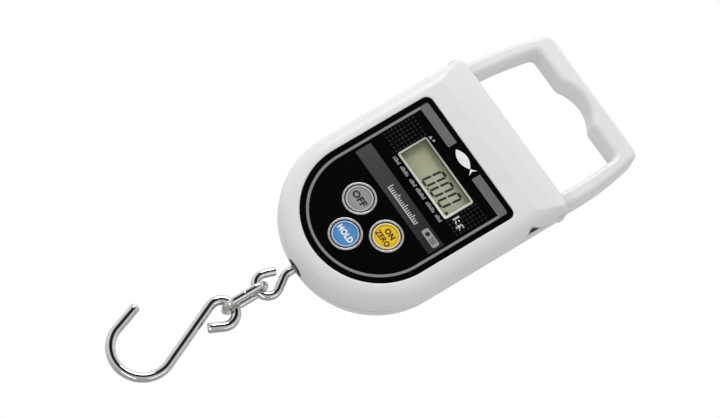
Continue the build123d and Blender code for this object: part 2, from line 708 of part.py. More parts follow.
with BuildPart() as load_cell:
    block(CELL_HALF, CELL_BOTTOM, CELL_TOP, CELL_FRONT, CELL_REAR)
    with BuildSketch(front(CELL_REAR)):
        with Locations((-COLUMN / 2, (MIDDLE_TOP + CELL_TOP - ARM_UPPER) / 2)):
            Rectangle(2 * CELL_HALF - COLUMN, SLIT)
        with Locations((COLUMN / 2, (MIDDLE_BOTTOM + CELL_BOTTOM + ARM_LOWER) / 2)):
            Rectangle(2 * CELL_HALF - COLUMN, NUT_GAP)
        with Locations((0, MIDDLE)):
            SlotCenterToCenter(*FLEX_HOLE)
    extrude(amount=CELL_REAR - CELL_FRONT, mode=Mode.SUBTRACT)
    with BuildSketch(level(CELL_BOTTOM)):
        Circle(ROD_WIRE / 2 + RUNNING_GAP)
    extrude(amount=ARM_LOWER, mode=Mode.SUBTRACT)
    with BuildSketch(level(CELL_TOP)):
        with Locations(*SCREW_PLACES):
            Circle(CELL_SCREW[0] + THREAD_PLAY)
    extrude(amount=-CELL_SCREW_DEEP - SCREW_END, mode=Mode.SUBTRACT)
write(load_cell, "load_cell")

with BuildPart() as strain_gauges:
    with BuildSketch(front(CELL_REAR + GAUGE_THICK)):
        with Locations(*[(hand * GAUGE_X, MIDDLE) for hand in (-1, 1)]):
            Rectangle(*GAUGE)
    extrude(amount=GAUGE_THICK)
write(strain_gauges, "strain_gauges")

with BuildPart() as load_bracket:
    block(CELL_HALF, CELL_TOP, CELL_TOP + FOOT_THICK, CELL_FRONT, CELL_REAR)
    block(STRAP_HALF, CELL_TOP, STRAP_TOP, -PLATE_HALF, PLATE_HALF)
    block(EAR_X + EAR_THICK, STRAP_TOP, YOKE_TOP, -PLATE_HALF, PLATE_HALF)
    corner_blocks(EAR_X, EAR_X + EAR_THICK, STRAP_TOP, EAR_TOP, -EAR_HALF, EAR_HALF)
    with BuildSketch(side(-EAR_X - EAR_THICK)):
        Circle(AXLE_DIAMETER / 2)
    extrude(amount=2 * (EAR_X + EAR_THICK), mode=Mode.SUBTRACT)
    with BuildSketch(level(CELL_TOP)):
        with Locations(*SCREW_PLACES):
            Circle(BRACKET_HOLE)
    extrude(amount=FOOT_THICK, mode=Mode.SUBTRACT)
write(load_bracket, "load_bracket")

with BuildPart() as cell_screws:
    thread, head, head_thick = CELL_SCREW
    with BuildSketch(level(CELL_TOP - CELL_SCREW_DEEP)):
        with Locations(*SCREW_PLACES):
            Circle(thread)
    extrude(amount=CELL_SCREW_DEEP + FOOT_THICK)
    with BuildSketch(level(CELL_TOP + FOOT_THICK)):
        with Locations(*SCREW_PLACES):
            Circle(head)
    extrude(amount=head_thick)
write(cell_screws, "cell_screws")

# --------------------------------------------------------------------------- power
for number, (name, height) in enumerate(BATTERY_Z.items()):
    hand = 1 - 2 * number
    barrel = 2 * BATTERY_HALF - TERMINAL[1]
    with BuildPart() as battery:
        with BuildSketch(side(-hand * BATTERY_HALF)):
            with Locations((BATTERY_Y, height)):
                Circle(CELL_RADIUS)
        extrude(amount=hand * barrel)
        with BuildSketch(side(hand * (barrel - BATTERY_HALF))):
            with Locations((BATTERY_Y, height)):
                Circle(TERMINAL[0])
        extrude(amount=hand * TERMINAL[1])
    write(battery, name)

CONTACT_NEAR = BATTERY_HALF + CONTACT_AT

with BuildPart() as battery_contacts:
    for hand in (-1, 1):
        with BuildSketch(side(hand * CONTACT_NEAR)):
            with Locations(*[(BATTERY_Y, height) for height in BATTERY_Z.values()]):
                Rectangle(CONTACT_SIZE, CONTACT_SIZE)
        extrude(amount=hand * CONTACT_THICK)
        with BuildSketch(side(hand * CONTACT_NEAR)):
            with Locations(*[(BATTERY_Y, height) for height in BATTERY_Z.values()]):
                Circle(DIMPLE_RADIUS)
        extrude(amount=-hand * CONTACT_AT)
write(battery_contacts, "battery_contacts")

# --------------------------------------------------------------------------- wiring
with BuildPart() as battery_leads:
    for hand in (-1, 1):
        with BuildLine(side(hand * LEAD_X)):
            FilletPolyline((LEAD_Y, TUB[1]), (LEAD_Y, LEAD_Z), (BOARD_REAR, LEAD_Z), radius=LEAD_BEND)
        with BuildSketch(level(TUB[1])):
            with Locations((hand * LEAD_X, LEAD_Y)):
                Circle(LEAD / 2)
        sweep()
write(battery_leads, "battery_leads")

with BuildPart() as sensor_cable:
    with BuildLine(front(CELL_SCREW_AT[1])):
        FilletPolyline(
            (CELL_HALF, MIDDLE),
            (SOCKET[0], MIDDLE),
            (SOCKET[0], SOCKET[1] - SOCKET_SIZE[1] / 2),
            radius=CABLE_BEND,
        )
    with BuildSketch(side(CELL_HALF)):
        with Locations((CELL_SCREW_AT[1], MIDDLE)):
            Circle(LEAD / 2)
    sweep()
write(sensor_cable, "sensor_cable")

# --------------------------------------------------------------------------- load line
ARM_SEAT = CELL_BOTTOM + ARM_LOWER
EYE_CORNER = EYE_Z + EYE_BEND / sin(radians(EYE_TURN))
STEP_TRIM = EYE_STEP_BEND * sin(radians(EYE_TURN)) / (1 + cos(radians(EYE_TURN)))
STEP_RUN = EYE_BEND * cos(radians(EYE_TURN)) / sin(radians(EYE_TURN)) - STEP_TRIM

with BuildPart() as eye_rod:
    with BuildLine(front(0)):
        bend(Vector(0, ARM_SEAT), Vector(0, -1), [
            (ARM_SEAT - EYE_CORNER - STEP_TRIM,),
            (EYE_STEP_BEND, EYE_TURN),
            (STEP_RUN,),
            (EYE_BEND, -(180 + EYE_TURN + EYE_END_LEAN)),
            (EYE_END,),
        ])
    with BuildSketch(level(ARM_SEAT)):
        Circle(ROD_WIRE / 2)
    sweep()
    chamfer(eye_rod.faces().filter_by(GeomType.PLANE).edges(), END_CHAMFER)
    with BuildSketch(level(ARM_SEAT)):
        Circle(ROD_THREAD / 2)
    extrude(amount=ROD_THREAD_TOP - ARM_SEAT)
write(eye_rod, "eye_rod")

with BuildPart() as swivel_washer:
    with BuildSketch(level(ARM_SEAT + RUNNING_GAP)):
        Circle(WASHER_RADIUS)
        Circle(ROD_THREAD / 2, mode=Mode.SUBTRACT)
    extrude(amount=WASHER_THICK)
write(swivel_washer, "swivel_washer")

with BuildPart() as swivel_nut:
    with BuildSketch(level(ARM_SEAT + RUNNING_GAP + WASHER_THICK)):
        RegularPolygon(NUT_RADIUS, 6)
        Circle(ROD_THREAD / 2, mode=Mode.SUBTRACT)
    extrude(amount=NUT_THICK)
write(swivel_nut, "swivel_nut")

EYE_LOW = EYE_Z - EYE_BEND                                   # wire centre at the bottom of the eye
LINK_TOP = EYE_LOW + ROD_WIRE / 2 + WIRE_GAP + LINK_WIRE / 2
LINK_LOW = LINK_TOP - 2 * LINK_BEND - LINK_LEG
HOOK_TOP = LINK_LOW + LINK_WIRE / 2 + WIRE_GAP + HOOK_WIRE / 2

with BuildPart() as chain_link:
    with BuildLine(side(0)):
        bend(Vector(LINK_BEND, LINK_TOP - LINK_BEND), Vector(0, 1), [
            (LINK_BEND, 180),
            (LINK_LEG,),
            (LINK_BEND, 180),
            (LINK_LEG,),
        ])
    with BuildSketch(level(LINK_TOP - LINK_BEND)):
        with Locations((0, LINK_BEND)):
            Circle(LINK_WIRE / 2)
    sweep()
write(chain_link, "chain_link")

# The shank is the line that crosses from the left of the hook's eye to the right of its bow.
BOW_SHIFT = HOOK_BOW_X - HOOK_EYE_X
SPAN = sqrt(BOW_SHIFT**2 + HOOK_BOW_DROP**2)
ACROSS = HOOK_EYE + HOOK_BOW
SHANK = sqrt(SPAN**2 - ACROSS**2)
SHANK_X = (BOW_SHIFT * SHANK + HOOK_BOW_DROP * ACROSS) / SPAN**2
SHANK_DOWN = Vector(SHANK_X, -sqrt(1 - SHANK_X**2))
SHANK_LEAN = SHANK_DOWN.get_angle(Vector(0, -1))
TAIL_UP = Vector(sin(radians(HOOK_TAIL_LEAN)), cos(radians(HOOK_TAIL_LEAN)))
HOOK_EYE_Z = HOOK_TOP - HOOK_EYE
TAIL_ROOT = Vector(HOOK_EYE_X, HOOK_EYE_Z) + Vector(TAIL_UP.Y, -TAIL_UP.X) * HOOK_EYE
TAIL_END = TAIL_ROOT - TAIL_UP * HOOK_TAIL

with BuildPart() as load_hook:
    with BuildLine(front(0)):
        bend(TAIL_END, TAIL_UP, [
            (HOOK_TAIL,),
            (HOOK_EYE, 180 + HOOK_TAIL_LEAN + SHANK_LEAN),
            (SHANK,),
            (HOOK_BOW, -(180 + SHANK_LEAN - HOOK_TIP_LEAN)),
            (HOOK_TIP,),
        ])
    with BuildSketch(Plane(
        origin=(TAIL_END.X, PIVOT_Y, PIVOT_Z + TAIL_END.Y),
        z_dir=(TAIL_UP.X, 0, TAIL_UP.Y),
    )):
        Circle(HOOK_WIRE / 2)
    sweep()
    chamfer(load_hook.faces().filter_by(GeomType.PLANE).edges(), END_CHAMFER)
write(load_hook, "load_hook")
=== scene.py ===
import json
import math

import bpy
from mathutils import Matrix, Vector


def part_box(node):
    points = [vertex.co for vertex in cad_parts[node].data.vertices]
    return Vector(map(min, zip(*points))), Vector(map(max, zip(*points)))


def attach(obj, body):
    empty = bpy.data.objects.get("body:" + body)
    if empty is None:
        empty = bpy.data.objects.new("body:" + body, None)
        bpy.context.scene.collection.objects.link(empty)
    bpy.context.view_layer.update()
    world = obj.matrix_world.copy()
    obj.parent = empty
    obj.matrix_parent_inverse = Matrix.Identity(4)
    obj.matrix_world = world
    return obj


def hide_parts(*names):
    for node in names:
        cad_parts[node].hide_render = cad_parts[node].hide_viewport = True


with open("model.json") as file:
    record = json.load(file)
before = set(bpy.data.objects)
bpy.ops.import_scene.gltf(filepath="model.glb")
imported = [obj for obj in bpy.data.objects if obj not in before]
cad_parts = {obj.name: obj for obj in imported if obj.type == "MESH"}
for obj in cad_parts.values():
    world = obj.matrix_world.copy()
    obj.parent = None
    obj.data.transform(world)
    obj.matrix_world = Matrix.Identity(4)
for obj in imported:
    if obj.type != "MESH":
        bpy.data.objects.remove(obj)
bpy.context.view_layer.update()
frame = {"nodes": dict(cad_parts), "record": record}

# Looks for a digital hanging scale. Lengths are millimetres, and are turned into metres where a mesh is
# made, unless a comment says metres. Textures have their scale in cells per metre and their relief in
# metres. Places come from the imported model's own nodes.
MM = 0.001
nodes = frame["nodes"]


def low(node):
    """Lowest corner of a node, in millimetres."""
    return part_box(node)[0] / MM


def high(node):
    """Highest corner of a node, in millimetres."""
    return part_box(node)[1] / MM


def middle(node):
    """Middle of a node's box, in millimetres."""
    return (low(node) + high(node)) / 2


# ------------------------------------------------------------------------------------------- camera
CAMERA_AT = Vector((0.5079, -1.78585, -0.67742))      # metres
CAMERA_YAW = 16.159        # degrees, as are the next two
CAMERA_RISE = 17.251
CAMERA_ROLL = 59.388
LENS = 250.0
SENSOR = 36.0
CLIP = (0.1, 50.0)         # metres


def add_camera():
    """A long lens from below and to the right, rolled so that the scale lies across the frame."""
    data = bpy.data.cameras.new("camera")
    data.lens = LENS
    data.sensor_width = SENSOR
    data.clip_start, data.clip_end = CLIP
    camera = bpy.data.objects.new("camera", data)
    turn = (
        Matrix.Rotation(math.radians(CAMERA_YAW), 4, "Z")
        @ Matrix.Rotation(math.radians(90 + CAMERA_RISE), 4, "X")
        @ Matrix.Rotation(math.radians(CAMERA_ROLL), 4, "Z")
    )
    camera.matrix_world = Matrix.Translation(CAMERA_AT) @ turn
    bpy.context.scene.collection.objects.link(camera)
    bpy.context.scene.camera = camera


# ------------------------------------------------------------------------------------------- shaders
MIX_COLOURS = (6, 7)       # the Mix node's sockets for colours, by number, because others share their names
MIX_RESULT = 2


class Graph:
    """A material's node tree, built from the texture towards the shader."""

    def __init__(self, name):
        self.material = bpy.data.materials.new(name)
        self.material.use_nodes = True
        self.tree = self.material.node_tree
        self.shader = self.tree.nodes["Principled BSDF"]
        self.place = self.add("ShaderNodeTexCoord").outputs["Object"]

    def add(self, kind, **settings):
        node = self.tree.nodes.new(kind)
        for key, value in settings.items():
            setattr(node, key, value)
        return node

    def link(self, out, into):
        self.tree.links.new(out, into)

    def noise(self, cells, detail=3.0, rough=0.55, place=None):
        """Cloudy texture of that many cells per metre, from 0 to 1."""
        node = self.add("ShaderNodeTexNoise")
        node.inputs["Scale"].default_value = cells
        node.inputs["Detail"].default_value = detail
        node.inputs["Roughness"].default_value = rough
        self.link(place or self.place, node.inputs["Vector"])
        return node.outputs["Fac"]

    def spread(self, value, start, end, first=0.35, last=0.65):
        """value, stretched so that first becomes start and last becomes end.

        Most of a noise texture lies between the first and last that are set here.
        """
        node = self.add("ShaderNodeMapRange")
        node.inputs["From Min"].default_value = first
        node.inputs["From Max"].default_value = last
        node.inputs["To Min"].default_value = start
        node.inputs["To Max"].default_value = end
        self.link(value, node.inputs["Value"])
        return node.outputs["Result"]

    def mix(self, factor, colour, other):
        """colour where factor is 0 and other where it is 1. Either may be a socket."""
        node = self.add("ShaderNodeMix", data_type="RGBA")
        self.link(factor, node.inputs["Factor"])
        for index, value in zip(MIX_COLOURS, (colour, other)):
            if isinstance(value, tuple):
                node.inputs[index].default_value = (*value, 1.0)
            else:
                self.link(value, node.inputs[index])
        return node.outputs[MIX_RESULT]

    def stretched(self, x, y, z, source=None):
        """The texture's place with its axes scaled, so that cells grow along the small ones."""
        node = self.add("ShaderNodeMapping")
        node.inputs["Scale"].default_value = (x, y, z)
        self.link(source or self.place, node.inputs["Vector"])
        return node.outputs["Vector"]

    def axis(self, name):
        """One coordinate of the place, in metres."""
        node = self.add("ShaderNodeSeparateXYZ")
        self.link(self.place, node.inputs["Vector"])
        return node.outputs[name]

    def away(self, x, z):
        """How far a point is, in metres, from the line along Y through x, z."""
        flat = self.add("ShaderNodeVectorMath", operation="MULTIPLY")
        flat.inputs[1].default_value = (1, 0, 1)
        self.link(self.place, flat.inputs[0])
        reach = self.add("ShaderNodeVectorMath", operation="DISTANCE")
        reach.inputs[1].default_value = (x * MM, 0, z * MM)
        self.link(flat.outputs["Vector"], reach.inputs[0])
        return reach.outputs["Value"]

    def facing(self, axis):
        """How squarely the surface faces along an axis, 0 to 1 either way."""
        turn = self.add("ShaderNodeSeparateXYZ")
        self.link(self.add("ShaderNodeTexCoord").outputs["Normal"], turn.inputs["Vector"])
        size = self.add("ShaderNodeMath", operation="ABSOLUTE")
        self.link(turn.outputs[axis], size.inputs[0])
        return size.outputs["Value"]

    def bump(self, height, distance):
        """Relief of that depth in metres. Calls add up."""
        node = self.add("ShaderNodeBump")
        node.inputs["Strength"].default_value = 1.0
        node.inputs["Distance"].default_value = distance
        self.link(height, node.inputs["Height"])
        before = self.shader.inputs["Normal"]
        if before.is_linked:
            self.link(before.links[0].from_socket, node.inputs["Normal"])
        self.link(node.outputs["Normal"], before)

    def set(self, **values):
        """Sets shader sockets, to a value or from a texture."""
        for key, value in values.items():
            socket = self.shader.inputs[key.replace("_", " ")]
            if isinstance(value, bpy.types.NodeSocket):
                self.link(value, socket)
            elif isinstance(value, tuple):
                socket.default_value = (*value, 1.0)
            else:
                socket.default_value = value


def scaled(colour, share):
    """A colour that many times as bright."""
    return tuple(part * share for part in colour)


EDGE_SAMPLES = 6
CLOUDED = 0.97             # the brightness of clouded plastic, against clear


def moulded(name, colour, gloss, grain=2600.0, depth=3e-6, soft=0.0):
    """Injection-moulded plastic: a fine spark-eroded grain, slow clouding and handling marks.

    soft is the radius in millimetres by which the mould's edges look broken.
    """
    g = Graph(name)
    if soft:
        edges = g.add("ShaderNodeBevel", samples=EDGE_SAMPLES)
        edges.inputs["Radius"].default_value = soft * MM
        g.link(edges.outputs["Normal"], g.shader.inputs["Normal"])
    clouds = g.spread(g.noise(38.0, 4.0), 0, 1)
    g.set(Base_Color=g.mix(clouds, colour, scaled(colour, CLOUDED)))
    scuffs = g.noise(420.0, 5.0, 0.7)
    g.set(Roughness=g.spread(scuffs, gloss - 0.02, gloss + 0.03, 0.2, 0.8))
    g.bump(g.noise(grain, 2.0, 0.6), depth)
    g.bump(g.noise(60.0, 1.0), 4e-6)
    return g


def plain_plastic(name, colour, gloss=0.42, **more):
    return moulded(name, colour, gloss, **more).material


STEEL = (0.62, 0.615, 0.605)
MARKED_STEEL = (0.56, 0.555, 0.545)


def drawn_wire():
    """Polished steel wire. Faint lines from the drawing die run along it, with a few handling marks."""
    g = Graph("bright_steel")
    uv = g.add("ShaderNodeTexCoord").outputs["UV"]
    lines = g.noise(1.0, 4.0, 0.7, g.stretched(60.0, 95.0, 1.0, uv))
    marks = g.noise(420.0, 2.0, 0.5)
    g.set(Metallic=1.0, Base_Color=g.mix(g.spread(marks, 0, 1), STEEL, MARKED_STEEL))
    g.set(Roughness=g.spread(lines, 0.07, 0.13))
    g.bump(lines, 8e-7)
    g.bump(g.noise(130.0, 2.0), 3e-6)
    return g.material


TOOL_MARKS = 900.0         # per metre
MARK_STRETCH = 0.06        # cells along a mark, against cells across it


def machined(name, colour, rough):
    """Turned, milled or pressed metal with tool marks across it."""
    g = Graph(name)
    along = TOOL_MARKS * MARK_STRETCH
    marks = g.noise(1.0, 3.0, 0.6, g.stretched(along, along, TOOL_MARKS))
    g.set(Metallic=1.0, Base_Color=g.mix(g.spread(g.noise(160.0), 0, 1), colour, scaled(colour, 0.82)))
    g.set(Roughness=g.spread(marks, rough - 0.06, rough + 0.12))
    g.bump(marks, 4e-6)
    return g.material


def printed_film(name, colour, gloss=0.2, uneven=0.06, peel=2.5e-6):
    """Screen-printed ink under or on a glossy film: nearly even, with a faint orange peel."""
    g = Graph(name)
    g.set(Base_Color=g.mix(g.spread(g.noise(900.0, 2.0), 0, 1), colour, scaled(colour, 0.9)))
    g.set(Roughness=g.spread(g.noise(240.0, 5.0, 0.7), gloss - uneven, gloss + uneven))
    g.bump(g.noise(420.0, 2.0), peel)
    return g


def rubber(name, colour):
    g = Graph(name)
    g.set(Base_Color=g.mix(g.spread(g.noise(500.0, 4.0), 0, 1), colour, scaled(colour, 1.9)))
    g.set(Roughness=g.spread(g.noise(1500.0), 0.62, 0.85))
    g.bump(g.noise(2400.0, 3.0), 9e-6)
    return g.material


BAND_ENDS = (-25.0, 25.5)  # left and right end of the grey band across the label
BAND_LEFT_GREY = (0.064, 0.064, 0.065)
BAND_RIGHT_GREY = (0.02, 0.02, 0.021)


def band_film():
    """Grey band across the label that darkens towards its right end."""
    g = printed_film("label_band", BAND_LEFT_GREY)
    left, right = BAND_ENDS
    across = g.spread(g.axis("X"), 0, 1, left * MM, right * MM)
    g.set(Base_Color=g.mix(across, BAND_LEFT_GREY, BAND_RIGHT_GREY))
    return g.material


SCREEN_FADE = (-12.0, 4.0)  # the screen brightens between these places across it
SCREEN_DIM = (0.42, 0.43, 0.265)
SCREEN_BRIGHT = (0.53, 0.545, 0.4)
SCREEN_FLECKS = (0.44, 0.45, 0.3)


def display_screen():
    """Grey-green reflector behind the liquid crystal, brighter round the digits, finely mottled."""
    g = Graph("lcd_glass")
    start, end = SCREEN_FADE
    ground = g.mix(g.spread(g.axis("X"), 0, 1, start * MM, end * MM), SCREEN_DIM, SCREEN_BRIGHT)
    flecks = g.spread(g.noise(2600.0, 3.0), 0, 0.6, 0.2, 0.8)
    g.set(Base_Color=g.mix(flecks, ground, SCREEN_FLECKS))
    g.set(Roughness=g.spread(g.noise(300.0), 0.3, 0.42))
    g.bump(g.noise(3200.0), 2e-6)
    return g.material


def clear_window():
    """A clear moulding, faintly tinted, with fine wiping marks."""
    g = Graph("window_clear")
    g.set(Base_Color=g.mix(g.spread(g.noise(60.0), 0, 1), (0.16, 0.17, 0.13), (0.12, 0.13, 0.1)))
    g.set(Roughness=g.spread(g.noise(500.0, 5.0, 0.75), 0.03, 0.1), Alpha=0.05)
    g.material.blend_method = "BLEND"
    return g.material


BEZEL_HALF = (16.0, 6.5)   # the frame's painted light and shade run this far from its middle, across and up
# painted shade and painted light for the frame's front, and painted shade for its inner walls
BEZEL_PAINTED_SHADE = (0.3, 0.3, 0.28)
BEZEL_PAINTED_LIGHT = (0.8, 0.8, 0.74)
BEZEL_WALL_PAINTED_SHADE = (0.11, 0.11, 0.07)


def bezel_plastic():
    """Silvery frame with painted light: paler below and to the right, and painted shade that darkens its
    olive walls inside.
    """
    g = moulded("bezel_grey", BEZEL_PAINTED_SHADE, 0.3, grain=3600.0, depth=1e-6)
    centre = middle("display_bezel")
    wide, tall = BEZEL_HALF
    # painted light: the front turns paler towards the right and towards the bottom
    across = g.spread(g.axis("X"), 0, 0.5, (centre.x - wide) * MM, (centre.x + wide) * MM)
    down = g.spread(g.axis("Z"), 0.5, 0, (centre.z - tall) * MM, (centre.z + tall) * MM)
    bezel_light_ramp = g.add("ShaderNodeMath", operation="ADD")
    g.link(across, bezel_light_ramp.inputs[0])
    g.link(down, bezel_light_ramp.inputs[1])
    lit_front = g.mix(bezel_light_ramp.outputs["Value"], BEZEL_PAINTED_SHADE, BEZEL_PAINTED_LIGHT)
    # painted shade: surfaces not turned along Y, the inner walls, take the dark olive tone
    g.set(Base_Color=g.mix(g.spread(g.facing("Y"), 0, 1, 0.2, 0.6), BEZEL_WALL_PAINTED_SHADE, lit_front))
    return g.material


def plated_ring():
    """Silver plating on plastic, with painted shade that makes its inner wall nearly black."""
    g = Graph("ring_silver")
    # painted shade: surfaces not turned along Y, the inner wall, turn nearly black instead of silver
    lit_front = g.spread(g.facing("Y"), 0, 1, 0.05, 0.25)
    silver = g.mix(g.spread(g.noise(900.0, 3.0), 0, 1), (0.66, 0.66, 0.66), (0.56, 0.56, 0.56))
    g.set(Base_Color=g.mix(lit_front, (0.02, 0.02, 0.02), silver), Metallic=0.85)
    g.set(Roughness=g.spread(g.noise(1400.0, 3.0), 0.28, 0.4))
    g.bump(g.noise(1600.0, 2.0), 1e-6)
    return g.material


KEY_FADE = (3.6, 4.8)      # a key's colour deepens between these distances from its middle
KEY_RIM = (4.75, 4.85)     # and turns into its pale rim between these
RIM_WHITE = 0.35           # share of white in the rim


def key_top(slot, node, disc, edge):
    """Satin key: a printed disc inside a pale rim, shading to a deeper colour at the disc's edge, with
    painted shade that turns its side walls nearly black.
    """
    g = moulded(slot, disc, 0.34)
    centre = middle(node)
    out = g.away(centre.x, centre.z)
    shade = g.mix(g.spread(out, 0, 1, KEY_FADE[0] * MM, KEY_FADE[1] * MM), disc, edge)
    pale = tuple(RIM_WHITE + (1 - RIM_WHITE) * part for part in disc)
    rim = g.mix(g.spread(out, 0, 1, KEY_RIM[0] * MM, KEY_RIM[1] * MM), shade, pale)
    mottle = g.spread(g.noise(700.0, 3.0), 0, 0.25)
    top = g.mix(mottle, rim, scaled(disc, 0.7))
    # painted shade: surfaces not turned along Y, the key's side walls, turn nearly black
    g.set(Base_Color=g.mix(g.spread(g.facing("Y"), 0, 1, 0.05, 0.3), scaled(disc, 0.05), top))
    return g.material


def board_mask():
    """Solder mask over tracks: a grid of paler lines under green lacquer."""
    g = Graph("board_green")
    tracks = g.add("ShaderNodeTexBrick")
    tracks.inputs["Scale"].default_value = 160.0
    tracks.inputs["Mortar Size"].default_value = 0.03
    tracks.inputs["Color1"].default_value = (0.012, 0.11, 0.04, 1)
    tracks.inputs["Color2"].default_value = (0.016, 0.14, 0.05, 1)
    tracks.inputs["Mortar"].default_value = (0.05, 0.27, 0.1, 1)
    flat = g.add("ShaderNodeMapping")
    flat.inputs["Rotation"].default_value = (math.radians(90), 0, 0)
    g.link(g.place, flat.inputs["Vector"])
    g.link(flat.outputs["Vector"], tracks.inputs["Vector"])
    g.set(Base_Color=tracks.outputs["Color"], Roughness=g.spread(g.noise(700.0), 0.2, 0.35))
    g.bump(tracks.outputs["Fac"], 1e-5)
    return g.material


def striped(name, first, second, pitch, rough):
    """Thin layers along X, as in a conducting rubber strip or a foil grid."""
    g = Graph(name)
    wave = g.add("ShaderNodeTexWave")
    wave.inputs["Scale"].default_value = pitch
    g.link(g.place, wave.inputs["Vector"])
    g.set(Base_Color=g.mix(wave.outputs["Fac"], first, second))
    g.set(Roughness=g.spread(g.noise(800.0), rough - 0.08, rough + 0.08))
    g.bump(wave.outputs["Fac"], 8e-6)
    return g.material


CELL_BAND = (11.8, 12.1)   # a cell's pale band begins this far towards its positive end
CELL_SPLIT = 0.1           # half the height over which the lower cell's way round gives way to the upper's


def battery_sleeve():
    """Printed shrink sleeve with a pale band near the positive end. The two cells point opposite ways."""
    g = Graph("battery_sleeve")
    between = (low("battery_upper").z + high("battery_lower").z) / 2
    way = g.add("ShaderNodeMath", operation="MULTIPLY")
    side = g.spread(g.axis("Z"), -1, 1, (between - CELL_SPLIT) * MM, (between + CELL_SPLIT) * MM)
    g.link(side, way.inputs[0])
    g.link(g.axis("X"), way.inputs[1])
    band = g.spread(way.outputs["Value"], 0, 1, CELL_BAND[0] * MM, CELL_BAND[1] * MM)
    sleeve = g.mix(g.spread(g.noise(300.0), 0, 1), (0.02, 0.07, 0.05), (0.015, 0.05, 0.04))
    g.set(Base_Color=g.mix(band, sleeve, (0.72, 0.6, 0.3)), Metallic=0.4)
    g.set(Roughness=g.spread(g.noise(500.0, 4.0), 0.22, 0.38))
    g.bump(g.noise(220.0), 1e-5)
    return g.material


PLASTICS = {               # colour and roughness
    "bush_white": ((0.8, 0.8, 0.76), 0.35),
    "cap_black": ((0.02, 0.02, 0.021), 0.4),
    "plunger_black": ((0.02, 0.02, 0.02), 0.42),
    "switch_black": ((0.03, 0.03, 0.032), 0.42),
    "chip_black": ((0.018, 0.018, 0.02), 0.5),
    "socket_white": ((0.75, 0.73, 0.65), 0.42),
}
METALS = {                 # colour and roughness
    "plain_steel": ((0.6, 0.6, 0.58), 0.3),
    "bare_aluminium": ((0.75, 0.76, 0.78), 0.32),
    "contact_nickel": ((0.72, 0.7, 0.64), 0.22),
}
RUBBERS = {                # colour
    "seal_rubber": (0.012, 0.012, 0.012),
    "lead_red": (0.35, 0.012, 0.012),
    "cable_grey": (0.16, 0.16, 0.17),
}
STRIPES = {                # two colours, layers per metre and roughness
    "strip_rubber": ((0.5, 0.35, 0.3), (0.03, 0.03, 0.03), 900.0, 0.6),
    "gauge_amber": ((0.5, 0.22, 0.03), (0.7, 0.5, 0.25), 1500.0, 0.3),
}
KEYS = {                   # node, colour of the disc and of its edge
    "key_grey": ("off_button", (0.3, 0.3, 0.3), (0.22, 0.22, 0.22)),
    "key_blue": ("hold_button", (0.075, 0.26, 0.55), (0.05, 0.19, 0.45)),
    "key_yellow": ("on_button", (0.85, 0.56, 0.008), (0.5, 0.33, 0.006)),
}
INK_LOOKS = {              # colour and roughness
    "grey_ink": ((0.155, 0.155, 0.157), 0.2),
    "badge_ink": ((0.36, 0.36, 0.37), 0.2),
    "line_ink": ((0.25, 0.25, 0.25), 0.2),
    "pale_ink": ((0.62, 0.62, 0.62), 0.3),
    "white_ink": ((0.86, 0.86, 0.86), 0.3),
    "dot_ink": ((0.016, 0.016, 0.019), 0.2),
    "dark_ink": ((0.012, 0.012, 0.012), 0.35),
    "brown_ink": ((0.06, 0.026, 0.004), 0.35),
    "segment_ink": ((0.006, 0.007, 0.002), 0.5),
}
HOUSING_WHITE = (0.765, 0.75, 0.755)
HANDLE_WHITE = (0.765, 0.755, 0.755)
LABEL_BLACK = (0.0015, 0.0015, 0.0018)
MATERIALS = {
    "housing_white": plain_plastic("housing_white", HOUSING_WHITE, 0.32, depth=1e-6, soft=1.2),
    "handle_white": plain_plastic("handle_white", HANDLE_WHITE, 0.33, depth=1e-6),
    "label_black": printed_film("label_black", LABEL_BLACK, 0.12, 0.02, 8e-7).material,
    "bright_steel": drawn_wire(),
    "bezel_grey": bezel_plastic(),
    "window_clear": clear_window(),
    "lcd_glass": display_screen(),
    "ring_silver": plated_ring(),
    "board_green": board_mask(),
    "battery_sleeve": battery_sleeve(),
}
for maker, looks in ((plain_plastic, PLASTICS), (machined, METALS), (striped, STRIPES), (key_top, KEYS)):
    MATERIALS.update({slot: maker(slot, *look) for slot, look in looks.items()})
MATERIALS.update({slot: rubber(slot, colour) for slot, colour in RUBBERS.items()})
INKS = {ink: printed_film(ink, *look).material for ink, look in INK_LOOKS.items()}
INKS["band_ink"] = band_film()


def dress_nodes():
    """Gives every CAD node the material of its slot."""
    for entry in frame["record"]["subparts"]:
        mesh = nodes[entry["node"]].data
        mesh.materials.clear()
        mesh.materials.append(MATERIALS[entry["material_slot"]])


# ------------------------------------------------------------------------------------------- mesh work
def piece(name, mesh, body, material):
    """Puts a finished mesh in the scene as a piece that rides on a body."""
    thing = bpy.data.objects.new(name, mesh)
    bpy.context.scene.collection.objects.link(thing)
    mesh.materials.clear()
    mesh.materials.append(material)
    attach(thing, body)
    return thing


def mesh_of(name, points, faces, smooth=False):
    mesh = bpy.data.meshes.new(name)
    mesh.from_pydata([Vector(point) * MM for point in points], [], faces)
    mesh.validate()
    mesh.polygons.foreach_set("use_smooth", [smooth] * len(mesh.polygons))
    mesh.update()
    return mesh


def plates(name, outlines, front, thick):
    """Thin upright plates, one for each outline of (x, z) points, with their faces at depth front."""
    points = []
    faces = []
    for outline in outlines:
        area = sum(a[0] * b[1] - b[0] * a[1] for a, b in zip(outline, outline[1:] + outline[:1]))
        ring = outline if area > 0 else outline[::-1]
        first = len(points)
        count = len(ring)
        points += [(x, front, z) for x, z in ring] + [(x, front + thick, z) for x, z in ring]
        faces.append([first + i for i in range(count)])
        faces.append([first + count + i for i in reversed(range(count))])
        for i in range(count):
            after = (i + 1) % count
            faces.append([first + after, first + i, first + count + i, first + count + after])
    return mesh_of(name, points, faces)


def box_outline(x0, x1, z0, z1):
    return [(x0, z0), (x1, z0), (x1, z1), (x0, z1)]


